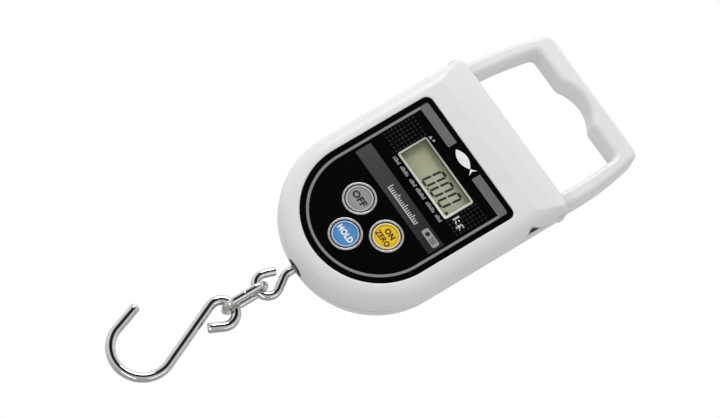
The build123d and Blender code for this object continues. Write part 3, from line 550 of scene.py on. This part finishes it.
def arc(x, z, radius, start, end, steps):
    """Points on an arc, with its angles in degrees."""
    turns = [math.radians(start + (end - start) * i / steps) for i in range(steps + 1)]
    return [(x + radius * math.cos(turn), z + radius * math.sin(turn)) for turn in turns]


DISC_SIDES = 16
CORNER_STEPS = 5


def disc_outline(x, z, radius):
    return arc(x, z, radius, 0, 360, DISC_SIDES)[:-1]


def rounded_outline(x0, x1, z0, z1, radius):
    corners = ((x1, z1, -1, -1), (x0, z1, 1, -1), (x0, z0, 1, 1), (x1, z0, -1, 1))
    ring = []
    for turn, (x, z, across, up) in enumerate(corners):
        start = 90 * turn
        ring += arc(x + across * radius, z + up * radius, radius, start, start + 90, CORNER_STEPS)
    return ring


LETTER_CURVE = 6           # points in each curve of a letter


def lettering(name, words, place, wide, tall, thick, weight, apart):
    """Raised generic lettering that fills a box of that size, centred at place, facing -Y.

    weight thickens the strokes, and apart is the spacing of the letters, where 1 is the font's own.
    """
    data = bpy.data.curves.new(name, "FONT")
    data.body = words
    data.space_character = apart
    data.size = tall * MM
    data.extrude = thick / 2 * MM
    data.offset = weight * MM
    data.resolution_u = LETTER_CURVE
    text = bpy.data.objects.new(name, data)
    bpy.context.scene.collection.objects.link(text)
    mesh = bpy.data.meshes.new_from_object(text)
    bpy.data.objects.remove(text)
    xs = [vertex.co.x for vertex in mesh.vertices]
    ys = [vertex.co.y for vertex in mesh.vertices]
    mesh.transform(
        Matrix.Translation(Vector(place) * MM)
        @ Matrix.Rotation(math.radians(90), 4, "X")
        @ Matrix.Diagonal((wide * MM / (max(xs) - min(xs)), tall * MM / (max(ys) - min(ys)), 1, 1))
        @ Matrix.Translation((-(max(xs) + min(xs)) / 2, -(max(ys) + min(ys)) / 2, 0))
    )
    return mesh


# ------------------------------------------------------------------------------------------- wires
ROUND = 40                  # points round a wire
ARC_STEP = 3.0              # degrees between rings in a bend
RUN_STEP = 2.0              # rough distance between rings in a straight run
UV_HALF_TURN = 0.02         # width in the UV map of half a turn round the wire, in metres


class Wire:
    """A wire bent in a plane. It walks straight runs and round bends, and leaves a ring at each step."""

    def __init__(self, origin, across, up, start, heading):
        self.origin = Vector(origin)
        self.across = Vector(across)
        self.up = Vector(up)
        self.at = Vector(start)
        self.heading = Vector(heading).normalized()
        self.walk = [(self.at.copy(), self.heading.copy())]

    def run(self, length, steps=None):
        steps = steps or max(1, round(length / RUN_STEP))
        for _ in range(steps):
            self.at = self.at + self.heading * (length / steps)
            self.walk.append((self.at.copy(), self.heading.copy()))

    def bend(self, radius, degrees):
        """Turns to the left for positive degrees."""
        steps = max(2, round(abs(degrees) / ARC_STEP))
        turn = math.radians(degrees / steps)
        chord = 2 * radius * math.sin(abs(turn) / 2)
        for _ in range(steps):
            self.heading.rotate(Matrix.Rotation(turn / 2, 2))
            self.at = self.at + self.heading * chord
            self.heading.rotate(Matrix.Rotation(turn / 2, 2))
            self.walk.append((self.at.copy(), self.heading.copy()))

    def mesh(self, name, radius, chamfer=0.0, closed=False, groove=None):
        """The tube round the walk. Open ends get a chamfer and a flat cut.

        groove gives the share of the radius that is left at each length along the walk.
        """
        normal = self.across.cross(self.up)
        stations = [(at, heading, radius) for at, heading in self.walk]
        if closed:
            stations = stations[:-1]
        else:
            start, start_heading = self.walk[0]
            end, end_heading = self.walk[-1]
            stations[0] = (start + start_heading * chamfer, start_heading, radius)
            stations[-1] = (end - end_heading * chamfer, end_heading, radius)
            stations.insert(0, (start, start_heading, radius - chamfer))
            stations.append((end, end_heading, radius - chamfer))
        length = 0.0
        points = []
        lengths = []
        for index, (at, heading, size) in enumerate(stations):
            if index:
                length += (at - stations[index - 1][0]).length
            size *= groove(length) if groove else 1.0
            out = self.across * heading.y - self.up * heading.x
            centre = self.origin + self.across * at.x + self.up * at.y
            for i in range(ROUND):
                turn = math.tau * i / ROUND
                points.append(centre + (out * math.cos(turn) + normal * math.sin(turn)) * size)
            lengths.append(length)
        faces = []
        rings = len(stations)
        for ring in range(rings if closed else rings - 1):
            a = ring * ROUND
            b = (ring + 1) % rings * ROUND
            faces += [[a + i, a + (i + 1) % ROUND, b + (i + 1) % ROUND, b + i] for i in range(ROUND)]
        if not closed:
            faces.append(list(reversed(range(ROUND))))
            faces.append([(rings - 1) * ROUND + i for i in range(ROUND)])
        mesh = mesh_of(name, points, faces, smooth=True)
        layer = mesh.uv_layers.new(name="along_and_round")
        for polygon in mesh.polygons:
            for loop in polygon.loop_indices:
                ring, i = divmod(mesh.loops[loop].vertex_index, ROUND)
                layer.data[loop].uv = (lengths[ring] * MM, abs(2 * i / ROUND - 1) * UV_HALF_TURN)
        if not closed:
            for polygon in mesh.polygons:
                if min(polygon.vertices) < ROUND or max(polygon.vertices) >= len(points) - ROUND:
                    polygon.use_smooth = False
        return mesh


LINK_WIRE = 3.0             # diameters of the wires
HOOK_WIRE = 4.0
END_CHAMFER = 0.4
LINK_BEND = 4.5             # radii of bends are to the middle of the wire
LINK_JOINT_STEPS = 30       # rings in the leg with the joint, and in the plain one
LINK_LEG_STEPS = 12
JOINT_DEPTH = 0.05          # depth of the groove at the joint, as a share of the radius
JOINT_REACH = 0.18
HOOK_EYE = 5.5
HOOK_EYE_X = 0.6            # middle of the eye
HOOK_BOW = 12.1
HOOK_TAIL = 6.3
HOOK_TAIL_LEAN = 26.0       # degrees
HOOK_TIP = 12.0
HOOK_TIP_LEAN = 18.8
RIGHT = (1, 0, 0)
UP = (0, 0, 1)
BACK = (0, 1, 0)


def make_load_hook():
    """An S-shaped hook: a tail, a small eye over the link, a slanted shank and a round bow."""
    box_low = low("load_hook")
    box_high = high("load_hook")
    depth = middle("load_hook").y
    eye = Vector((HOOK_EYE_X, box_high.z - HOOK_WIRE / 2 - HOOK_EYE))
    bow_z = box_low.z + HOOK_WIRE / 2 + HOOK_BOW
    bow = Vector((box_high.x - HOOK_WIRE / 2 - HOOK_BOW, bow_z))
    between = bow - eye
    shank = math.sqrt(between.length_squared - (HOOK_EYE + HOOK_BOW) ** 2)
    lean = math.degrees(math.atan2(HOOK_EYE + HOOK_BOW, shank) - math.atan2(-between.x, -between.y))
    tail_lean = math.radians(HOOK_TAIL_LEAN)
    tail_up = Vector((math.sin(tail_lean), math.cos(tail_lean)))
    root = eye + Vector((tail_up.y, -tail_up.x)) * HOOK_EYE
    wire = Wire((0, depth, 0), RIGHT, UP, root - tail_up * HOOK_TAIL, tail_up)
    wire.run(HOOK_TAIL)
    wire.bend(HOOK_EYE, 180 + HOOK_TAIL_LEAN + lean)
    wire.run(shank)
    wire.bend(HOOK_BOW, -(180 + lean - HOOK_TIP_LEAN))
    wire.run(HOOK_TIP)
    mesh = wire.mesh("load_hook_wire", HOOK_WIRE / 2, END_CHAMFER)
    hook = piece("load_hook_wire", mesh, "load_hook", MATERIALS["bright_steel"])
    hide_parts("load_hook")


def make_chain_link():
    """A closed oval link, with the faint groove of a butt joint in one leg."""
    top = high("chain_link")
    bottom = low("chain_link")
    leg = top.z - bottom.z - LINK_WIRE - 2 * LINK_BEND
    start = Vector((LINK_BEND, leg / 2))
    wire = Wire(middle("chain_link"), BACK, UP, start, (0, 1))
    wire.bend(LINK_BEND, 180)
    wire.run(leg, LINK_JOINT_STEPS)
    wire.bend(LINK_BEND, 180)
    wire.run(leg, LINK_LEG_STEPS)
    joint = math.pi * LINK_BEND + leg / 2

    def groove(length):
        return 1 - JOINT_DEPTH * math.exp(-(((length - joint) / JOINT_REACH) ** 2))

    mesh = wire.mesh("chain_link_wire", LINK_WIRE / 2, closed=True, groove=groove)
    link = piece("chain_link_wire", mesh, "chain_link", MATERIALS["bright_steel"])
    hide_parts("chain_link")


# ------------------------------------------------------------------------------------------- label print
# Places on the label are measured across from its middle and down from its top edge.
PRINT_THICK = 0.03
PRINT_PROUD = 0.02
PRINT_OVER = 0.01          # what is printed over other print stands this much further out
LABEL_TOP = high("front_label").z
PRINT_FRONT = low("front_label").y - PRINT_PROUD
BOWL_DROP = 45.0           # centre of the label's round bottom
LINE_OUT = 27.5            # radii of the line that follows the label's edge
LINE_IN = 26.4
LINE_STEPS = 64
HEADER_TOP = 2.2
HEADER_BOTTOM = 6.2
HEADER_GAP = (-7.4, 8.5)   # left and right end of the opening round the fish
HEADER_CORNER = 1.0
HEADER_STEPS = 6
FISH_AT = (-0.3, 4.2)      # across and down
FISH_HALF = (4.9, 2.0)     # half its body's length and height
FISH_STEPS = 14
FISH_FULLNESS = 0.8        # power of the sine along its back, where less is fuller
TAIL_GAP = 0.05
TAIL_REACH = 2.1
TAIL_NOTCH = 1.3
TAIL_HALF = 1.9
DOT = 0.5                  # radius
DOT_PITCH = 1.68
DOT_TOP = 10.8
DOT_ROWS = 9
DOT_COLUMNS = ((-25.2, 6), (17.9, 5))    # first column and number of columns, on the left and the right
BAND_TOP = 31.0
BAND_BOTTOM = 38.2
MARK_TOP = 8.9
MARK_LEFT = -15.4          # left corner of the triangle
MARK_WIDE = 1.8
MARK_TALL = 1.3
SQUARE = (-13.2, -12.3, MARK_TOP, 9.9)   # left, right, top and bottom
BAR_GROUPS = ((-15.3, -11.4), (-10.4, -5.6), (-4.1, -0.4), (0.3, 5.7), (7.1, 12.3), (13.4, 16.9))
BAR_PITCH = 0.72           # as near as a whole number of bars allows
BAR_WIDE = 0.42
BAR_BASE = 27.2
BAR_LONG = 1.5
BAR_SHORT = 1.1            # every third
TICK_LEFT = -6.0
TICK_COUNT = 19
TICK_PITCH = 1.0
TICK_WIDE = 0.38
TICK_BASE = 35.6
TICK_LONG = 2.2            # every fifth
TICK_SHORT = 1.4
TICK_LINE = 0.35           # thickness of the line under them
BADGE = (16.0, 24.4, 32.2, 35.4)         # left, right, top and bottom
BADGE_CORNER = 0.8
BADGE_DISC = (18.3, 33.8, 1.0)           # across, down and radius
BADGE_BARS = (20.3, 23.2)  # left and right
BADGE_BAR_TOP = 32.9
BADGE_BAR_PITCH = 0.75
BADGE_BAR_TALL = 0.35
BADGE_BAR_COUNT = 3


def printed(name, outlines, ink, over=0.0):
    """Ink on the label, from outlines of (x, drop below the label's top edge) points."""
    placed = [[(x, LABEL_TOP - drop) for x, drop in outline] for outline in outlines]
    mesh = plates(name, placed, PRINT_FRONT - over, PRINT_THICK)
    piece(name, mesh, "housing", INKS[ink])


def make_label_line():
    """The thin grey line that follows the label's round edge, open at the header."""
    bowl = LABEL_TOP - BOWL_DROP
    top = LABEL_TOP - HEADER_BOTTOM
    outer = [(-LINE_OUT, top)] + arc(0, bowl, LINE_OUT, 180, 360, LINE_STEPS) + [(LINE_OUT, top)]
    inner = [(-LINE_IN, top)] + arc(0, bowl, LINE_IN, 180, 360, LINE_STEPS) + [(LINE_IN, top)]
    points = [(x, PRINT_FRONT, z) for x, z in outer + inner]
    points += [(x, PRINT_FRONT + PRINT_THICK, z) for x, z in outer + inner]
    count = len(outer)
    under = 2 * count
    faces = []
    for i in range(count - 1):
        a, b, c, d = i, i + 1, count + i + 1, count + i
        faces += [[a, b, c, d], [under + d, under + c, under + b, under + a]]
        faces += [[b, a, under + a, under + b], [d, c, under + c, under + d]]
    last = count - 1
    faces.append([0, count, under + count, under])
    faces.append([under + last, under + count + last, count + last, last])
    mesh = mesh_of("label_line", points, faces)
    piece("label_line", mesh, "housing", INKS["line_ink"])


def make_header():
    """Two grey bars with rounded outer corners, left and right of the fish."""
    left_end, right_end = HEADER_GAP
    bend = HEADER_TOP + HEADER_CORNER
    left = [(left_end, HEADER_TOP), (left_end, HEADER_BOTTOM), (-LINE_OUT, HEADER_BOTTOM)]
    left += arc(-LINE_OUT + HEADER_CORNER, bend, HEADER_CORNER, 180, 270, HEADER_STEPS)
    right = [(right_end, HEADER_TOP)]
    right += arc(LINE_OUT - HEADER_CORNER, bend, HEADER_CORNER, -90, 0, HEADER_STEPS)
    right += [(LINE_OUT, HEADER_BOTTOM), (right_end, HEADER_BOTTOM)]
    printed("label_header", [left, right], "grey_ink")


def make_dots():
    columns = [first + DOT_PITCH * i for first, count in DOT_COLUMNS for i in range(count)]
    dots = [disc_outline(x, DOT_TOP + DOT_PITCH * row, DOT) for x in columns for row in range(DOT_ROWS)]
    printed("label_dots", dots, "dot_ink")


def make_fish():
    """A plain fish: a lens-shaped body and a forked tail."""
    x, drop = FISH_AT
    half, tall = FISH_HALF
    shares = [i / FISH_STEPS for i in range(FISH_STEPS + 1)]
    upper = [
        (x - half + 2 * half * share, drop - tall * math.sin(math.pi * share) ** FISH_FULLNESS)
        for share in shares
    ]
    lower = [(px, 2 * drop - pz) for px, pz in reversed(upper[1:-1])]
    root = x + half
    tail = [(root + TAIL_GAP, drop), (root + TAIL_REACH, drop - TAIL_HALF), (root + TAIL_NOTCH, drop),
            (root + TAIL_REACH, drop + TAIL_HALF)]
    printed("label_symbol", [upper + lower, tail], "white_ink")


def make_mark():
    """A small triangle and a square above the display."""
    base = MARK_TOP + MARK_TALL
    triangle = [(MARK_LEFT, base), (MARK_LEFT + MARK_WIDE / 2, MARK_TOP), (MARK_LEFT + MARK_WIDE, base)]
    printed("label_mark", [triangle, box_outline(*SQUARE)], "badge_ink")


def make_bars():
    """Plain bars in groups under the display."""
    bars = []
    for start, end in BAR_GROUPS:
        count = round((end - start) / BAR_PITCH)
        pitch = (end - start) / count
        for i in range(count):
            left = start + pitch * i
            tall = BAR_LONG if i % 3 else BAR_SHORT
            bars.append(box_outline(left, left + BAR_WIDE, BAR_BASE - tall, BAR_BASE))
    printed("label_bars", bars, "badge_ink")


def make_ticks():
    """A row of ruler ticks on the band, on a line."""
    ticks = []
    for i in range(TICK_COUNT):
        left = TICK_LEFT + TICK_PITCH * i
        tall = TICK_SHORT if i % 5 else TICK_LONG
        ticks.append(box_outline(left, left + TICK_WIDE, TICK_BASE - tall, TICK_BASE))
    right = TICK_LEFT + TICK_PITCH * (TICK_COUNT - 1) + TICK_WIDE
    ticks.append(box_outline(TICK_LEFT, right, TICK_BASE, TICK_BASE + TICK_LINE))
    printed("label_ticks", ticks, "pale_ink", PRINT_OVER)


def make_badge():
    """A rounded badge on the band, with a disc and bars in it."""
    printed("label_badge", [rounded_outline(*BADGE, BADGE_CORNER)], "badge_ink", PRINT_OVER)
    symbol = [disc_outline(*BADGE_DISC)]
    for i in range(BADGE_BAR_COUNT):
        top = BADGE_BAR_TOP + BADGE_BAR_PITCH * i
        symbol.append(box_outline(*BADGE_BARS, top, top + BADGE_BAR_TALL))
    printed("badge_symbol", symbol, "dark_ink", 2 * PRINT_OVER)


def make_label_print():
    make_label_line()
    make_header()
    make_dots()
    printed("label_band", [box_outline(*BAND_ENDS, BAND_TOP, BAND_BOTTOM)], "band_ink")
    make_fish()
    make_mark()
    make_bars()
    make_ticks()
    make_badge()


# ------------------------------------------------------------------------------------------- display
SEGMENT = 1.0              # stroke of a digit
SEGMENT_GAP = 0.1
DIGIT_SIZE = (4.0, 9.75)
DIGIT_PITCH = 5.28
SLANT = math.tan(math.radians(6.0))
DIGIT_START = (-3.15, -4.8)              # lower left corner of the first digit, from the display's middle
DIGIT_PROUD = 0.02
DIGIT_THICK = 0.03
POINT = (-0.55, 0.45, 0.42)              # across and up from the second digit's corner, and radius
CORNER_DOT = (13.8, 0.75, 0.68)          # across from the display's middle, up from the digits, and radius


def digit_outlines(x, z, lit):
    """Seven-segment outlines. x, z is the digit's lower left corner, and lit the segments wanted."""
    wide, tall = DIGIT_SIZE
    half = SEGMENT / 2
    rows = {"low": half, "mid": tall / 2, "top": tall - half}
    shapes = []

    def bar(a, b):
        run = (b - a).normalized()
        side = Vector((-run.y, run.x)) * half
        a = a + run * SEGMENT_GAP
        b = b - run * SEGMENT_GAP
        ring = [a, a + run * half - side, b - run * half - side, b, b - run * half + side,
                a + run * half + side]
        shapes.append([(x + p.x + p.y * SLANT, z + p.y) for p in ring])

    left, right = half, wide - half
    spots = {
        "low": ((left, rows["low"]), (right, rows["low"])),
        "top": ((left, rows["top"]), (right, rows["top"])),
        "low_left": ((left, rows["low"]), (left, rows["mid"])),
        "low_right": ((right, rows["low"]), (right, rows["mid"])),
        "top_left": ((left, rows["mid"]), (left, rows["top"])),
        "top_right": ((right, rows["mid"]), (right, rows["top"])),
    }
    for name in lit:
        bar(Vector(spots[name][0]), Vector(spots[name][1]))
    return shapes


def make_digits():
    """0.00 on the display, with its point and a dot in the lower corner."""
    centre = middle("display_glass")
    left, drop = DIGIT_START
    base = centre.z + drop
    starts = [centre.x + left + DIGIT_PITCH * i for i in range(3)]
    nought = ["low", "top", "low_left", "low_right", "top_left", "top_right"]
    lit = [outline for x in starts for outline in digit_outlines(x, base, nought)]
    for x, (across, up, radius) in ((starts[1], POINT), (centre.x, CORNER_DOT)):
        lit.append(disc_outline(x + across, base + up, radius))
    mesh = plates("display_digits", lit, low("display_glass").y - DIGIT_PROUD, DIGIT_THICK)
    piece("display_digits", mesh, "housing", INKS["segment_ink"])


# ------------------------------------------------------------------------------------------- keys
KEY_DISH = 0.2             # the keys' printed discs lie this far behind their rims
LETTER_THICK = 0.05
LETTER_SPACING = 1.08
KEY_LETTERS = (            # name, key, words, width, height, rise from its middle, weight, ink and slot
    ("off_letters", "off_button", "OFF", 7.3, 3.0, 0.0, 0.13, "dark_ink", "key_grey"),
    ("hold_letters", "hold_button", "HOLD", 8.4, 2.7, 0.0, 0.13, "white_ink", "key_blue"),
    ("on_letters", "on_button", "ON", 4.9, 2.5, 1.6, 0.12, "brown_ink", "key_yellow"),
    ("zero_letters", "on_button", "ZERO", 7.6, 2.4, -1.75, 0.08, "brown_ink", "key_yellow"),
)
UNIT_AT = (20.95, 21.05)   # across and down, as on the label
UNIT_SIZE = (5.3, 3.9)
UNIT_WEIGHT = 0.08
UNIT_SPACING = 1.2


def make_key_letters():
    """OFF, HOLD, ON and ZERO, raised a hair above the keys' printed discs."""
    sunk = KEY_DISH - LETTER_THICK / 2
    for name, key, words, wide, tall, rise, weight, ink, slot in KEY_LETTERS:
        spot = middle(key)
        place = (spot.x, low(key).y + sunk, spot.z + rise)
        mesh = lettering(name, words, place, wide, tall, LETTER_THICK, weight, LETTER_SPACING)
        piece(name, mesh, key, INKS[ink])


def make_unit():
    across, drop = UNIT_AT
    spot = (across, PRINT_FRONT + PRINT_THICK / 2, LABEL_TOP - drop)
    mesh = lettering("unit_letters", "kg", spot, *UNIT_SIZE, PRINT_THICK, UNIT_WEIGHT, UNIT_SPACING)
    piece("unit_letters", mesh, "housing", INKS["pale_ink"])


# ------------------------------------------------------------------------------------------- studio
LIGHTS = (                 # name, place and size in metres, and power in watts
    ("key_light", (-1.0, -1.0, 0.7), (0.8, 0.8), 14.0),
    ("edge_light", (1.05, -0.6, -0.05), (0.12, 0.9), 1.2),
    ("bowl_light", (0.45, -0.75, -1.0), (0.9, 0.12), 1.6),
)
LIGHT_AIM = Vector((0, 0, -0.11))        # near the middle of the scale, in metres


def area_light(name, place, size, power):
    """A soft panel that faces the middle of the scale."""
    data = bpy.data.lights.new(name, "AREA")
    data.shape = "RECTANGLE"
    data.size, data.size_y = size
    data.energy = power
    light = bpy.data.objects.new(name, data)
    light.location = Vector(place)
    towards = LIGHT_AIM - light.location
    light.rotation_euler = towards.to_track_quat("-Z", "Y").to_euler()
    bpy.context.scene.collection.objects.link(light)


KEY_SIDE = (-0.75, -0.35, 0.56)          # the studio is brightest towards here
DARK_SIDE = (-0.27, -0.92, 0.30)         # and dark here, where the camera sees it mirrored in flat faces
KEY_FALL = (-0.9, 0.9)                   # cosines over which the walls go from dim to bright
DARK_FALL = (0.7, 0.93)                  # and from bright into the dark patch
WALL_DIM = 0.5
WALL_BRIGHT = 1.1
DARK_LEVEL = 0.02
FLOOR_HALF = 20.0                        # metres
FLOOR_LEVEL = -2.2


def make_world():
    """Studio walls: a bright side, a dim side and a dark patch. The camera itself sees plain white."""
    world = bpy.data.worlds.new("studio")
    bpy.context.scene.world = world
    world.use_nodes = True
    tree = world.node_tree
    background = tree.nodes["Background"]
    background.inputs["Color"].default_value = (1, 1, 1, 1)
    place = tree.nodes.new("ShaderNodeTexCoord").outputs["Generated"]

    def level(side, fall, start, end):
        """A brightness that follows how far a ray points to one side."""
        facing = tree.nodes.new("ShaderNodeVectorMath")
        facing.operation = "DOT_PRODUCT"
        facing.inputs[1].default_value = Vector(side).normalized()
        tree.links.new(place, facing.inputs[0])
        ramp = tree.nodes.new("ShaderNodeMapRange")
        ramp.interpolation_type = "SMOOTHSTEP"
        for key, value in zip(("From Min", "From Max", "To Min", "To Max"), (*fall, start, end)):
            ramp.inputs[key].default_value = value
        tree.links.new(facing.outputs["Value"], ramp.inputs["Value"])
        return ramp.outputs["Result"]

    def combine(operation, first, second):
        node = tree.nodes.new("ShaderNodeMath")
        node.operation = operation
        tree.links.new(first, node.inputs[0])
        tree.links.new(second, node.inputs[1])
        return node.outputs["Value"]

    bright = level(KEY_SIDE, KEY_FALL, WALL_DIM, WALL_BRIGHT)
    dark = level(DARK_SIDE, DARK_FALL, 1.0, DARK_LEVEL)
    walls = combine("MULTIPLY", bright, dark)
    seen = tree.nodes.new("ShaderNodeLightPath").outputs["Is Camera Ray"]
    tree.links.new(combine("MAXIMUM", walls, seen), background.inputs["Strength"])


def make_floor():
    """A pale floor far below the scale. The camera sees it, and it is left out of bounces and mirrors."""
    mesh = bpy.data.meshes.new("studio_floor")
    corners = ((-1, -1), (1, -1), (1, 1), (-1, 1))
    points = [(x * FLOOR_HALF, y * FLOOR_HALF, FLOOR_LEVEL) for x, y in corners]
    mesh.from_pydata(points, [], [[0, 1, 2, 3]])
    floor = bpy.data.objects.new("studio_floor", mesh)
    bpy.context.scene.collection.objects.link(floor)
    g = Graph("studio_floor")
    g.set(Base_Color=g.mix(g.spread(g.noise(3.0), 0, 1), (0.86, 0.86, 0.86), (0.82, 0.82, 0.82)))
    g.set(Roughness=g.spread(g.noise(8.0), 0.7, 0.85))
    mesh.materials.append(g.material)
    floor.visible_diffuse = False
    floor.visible_glossy = False


def make_studio():
    make_world()
    make_floor()
    for light in LIGHTS:
        area_light(*light)
    bpy.context.scene.view_settings.view_transform = "Standard"


add_camera()
make_studio()
dress_nodes()
make_load_hook()
make_chain_link()
make_label_print()
make_digits()
make_key_letters()
make_unit()
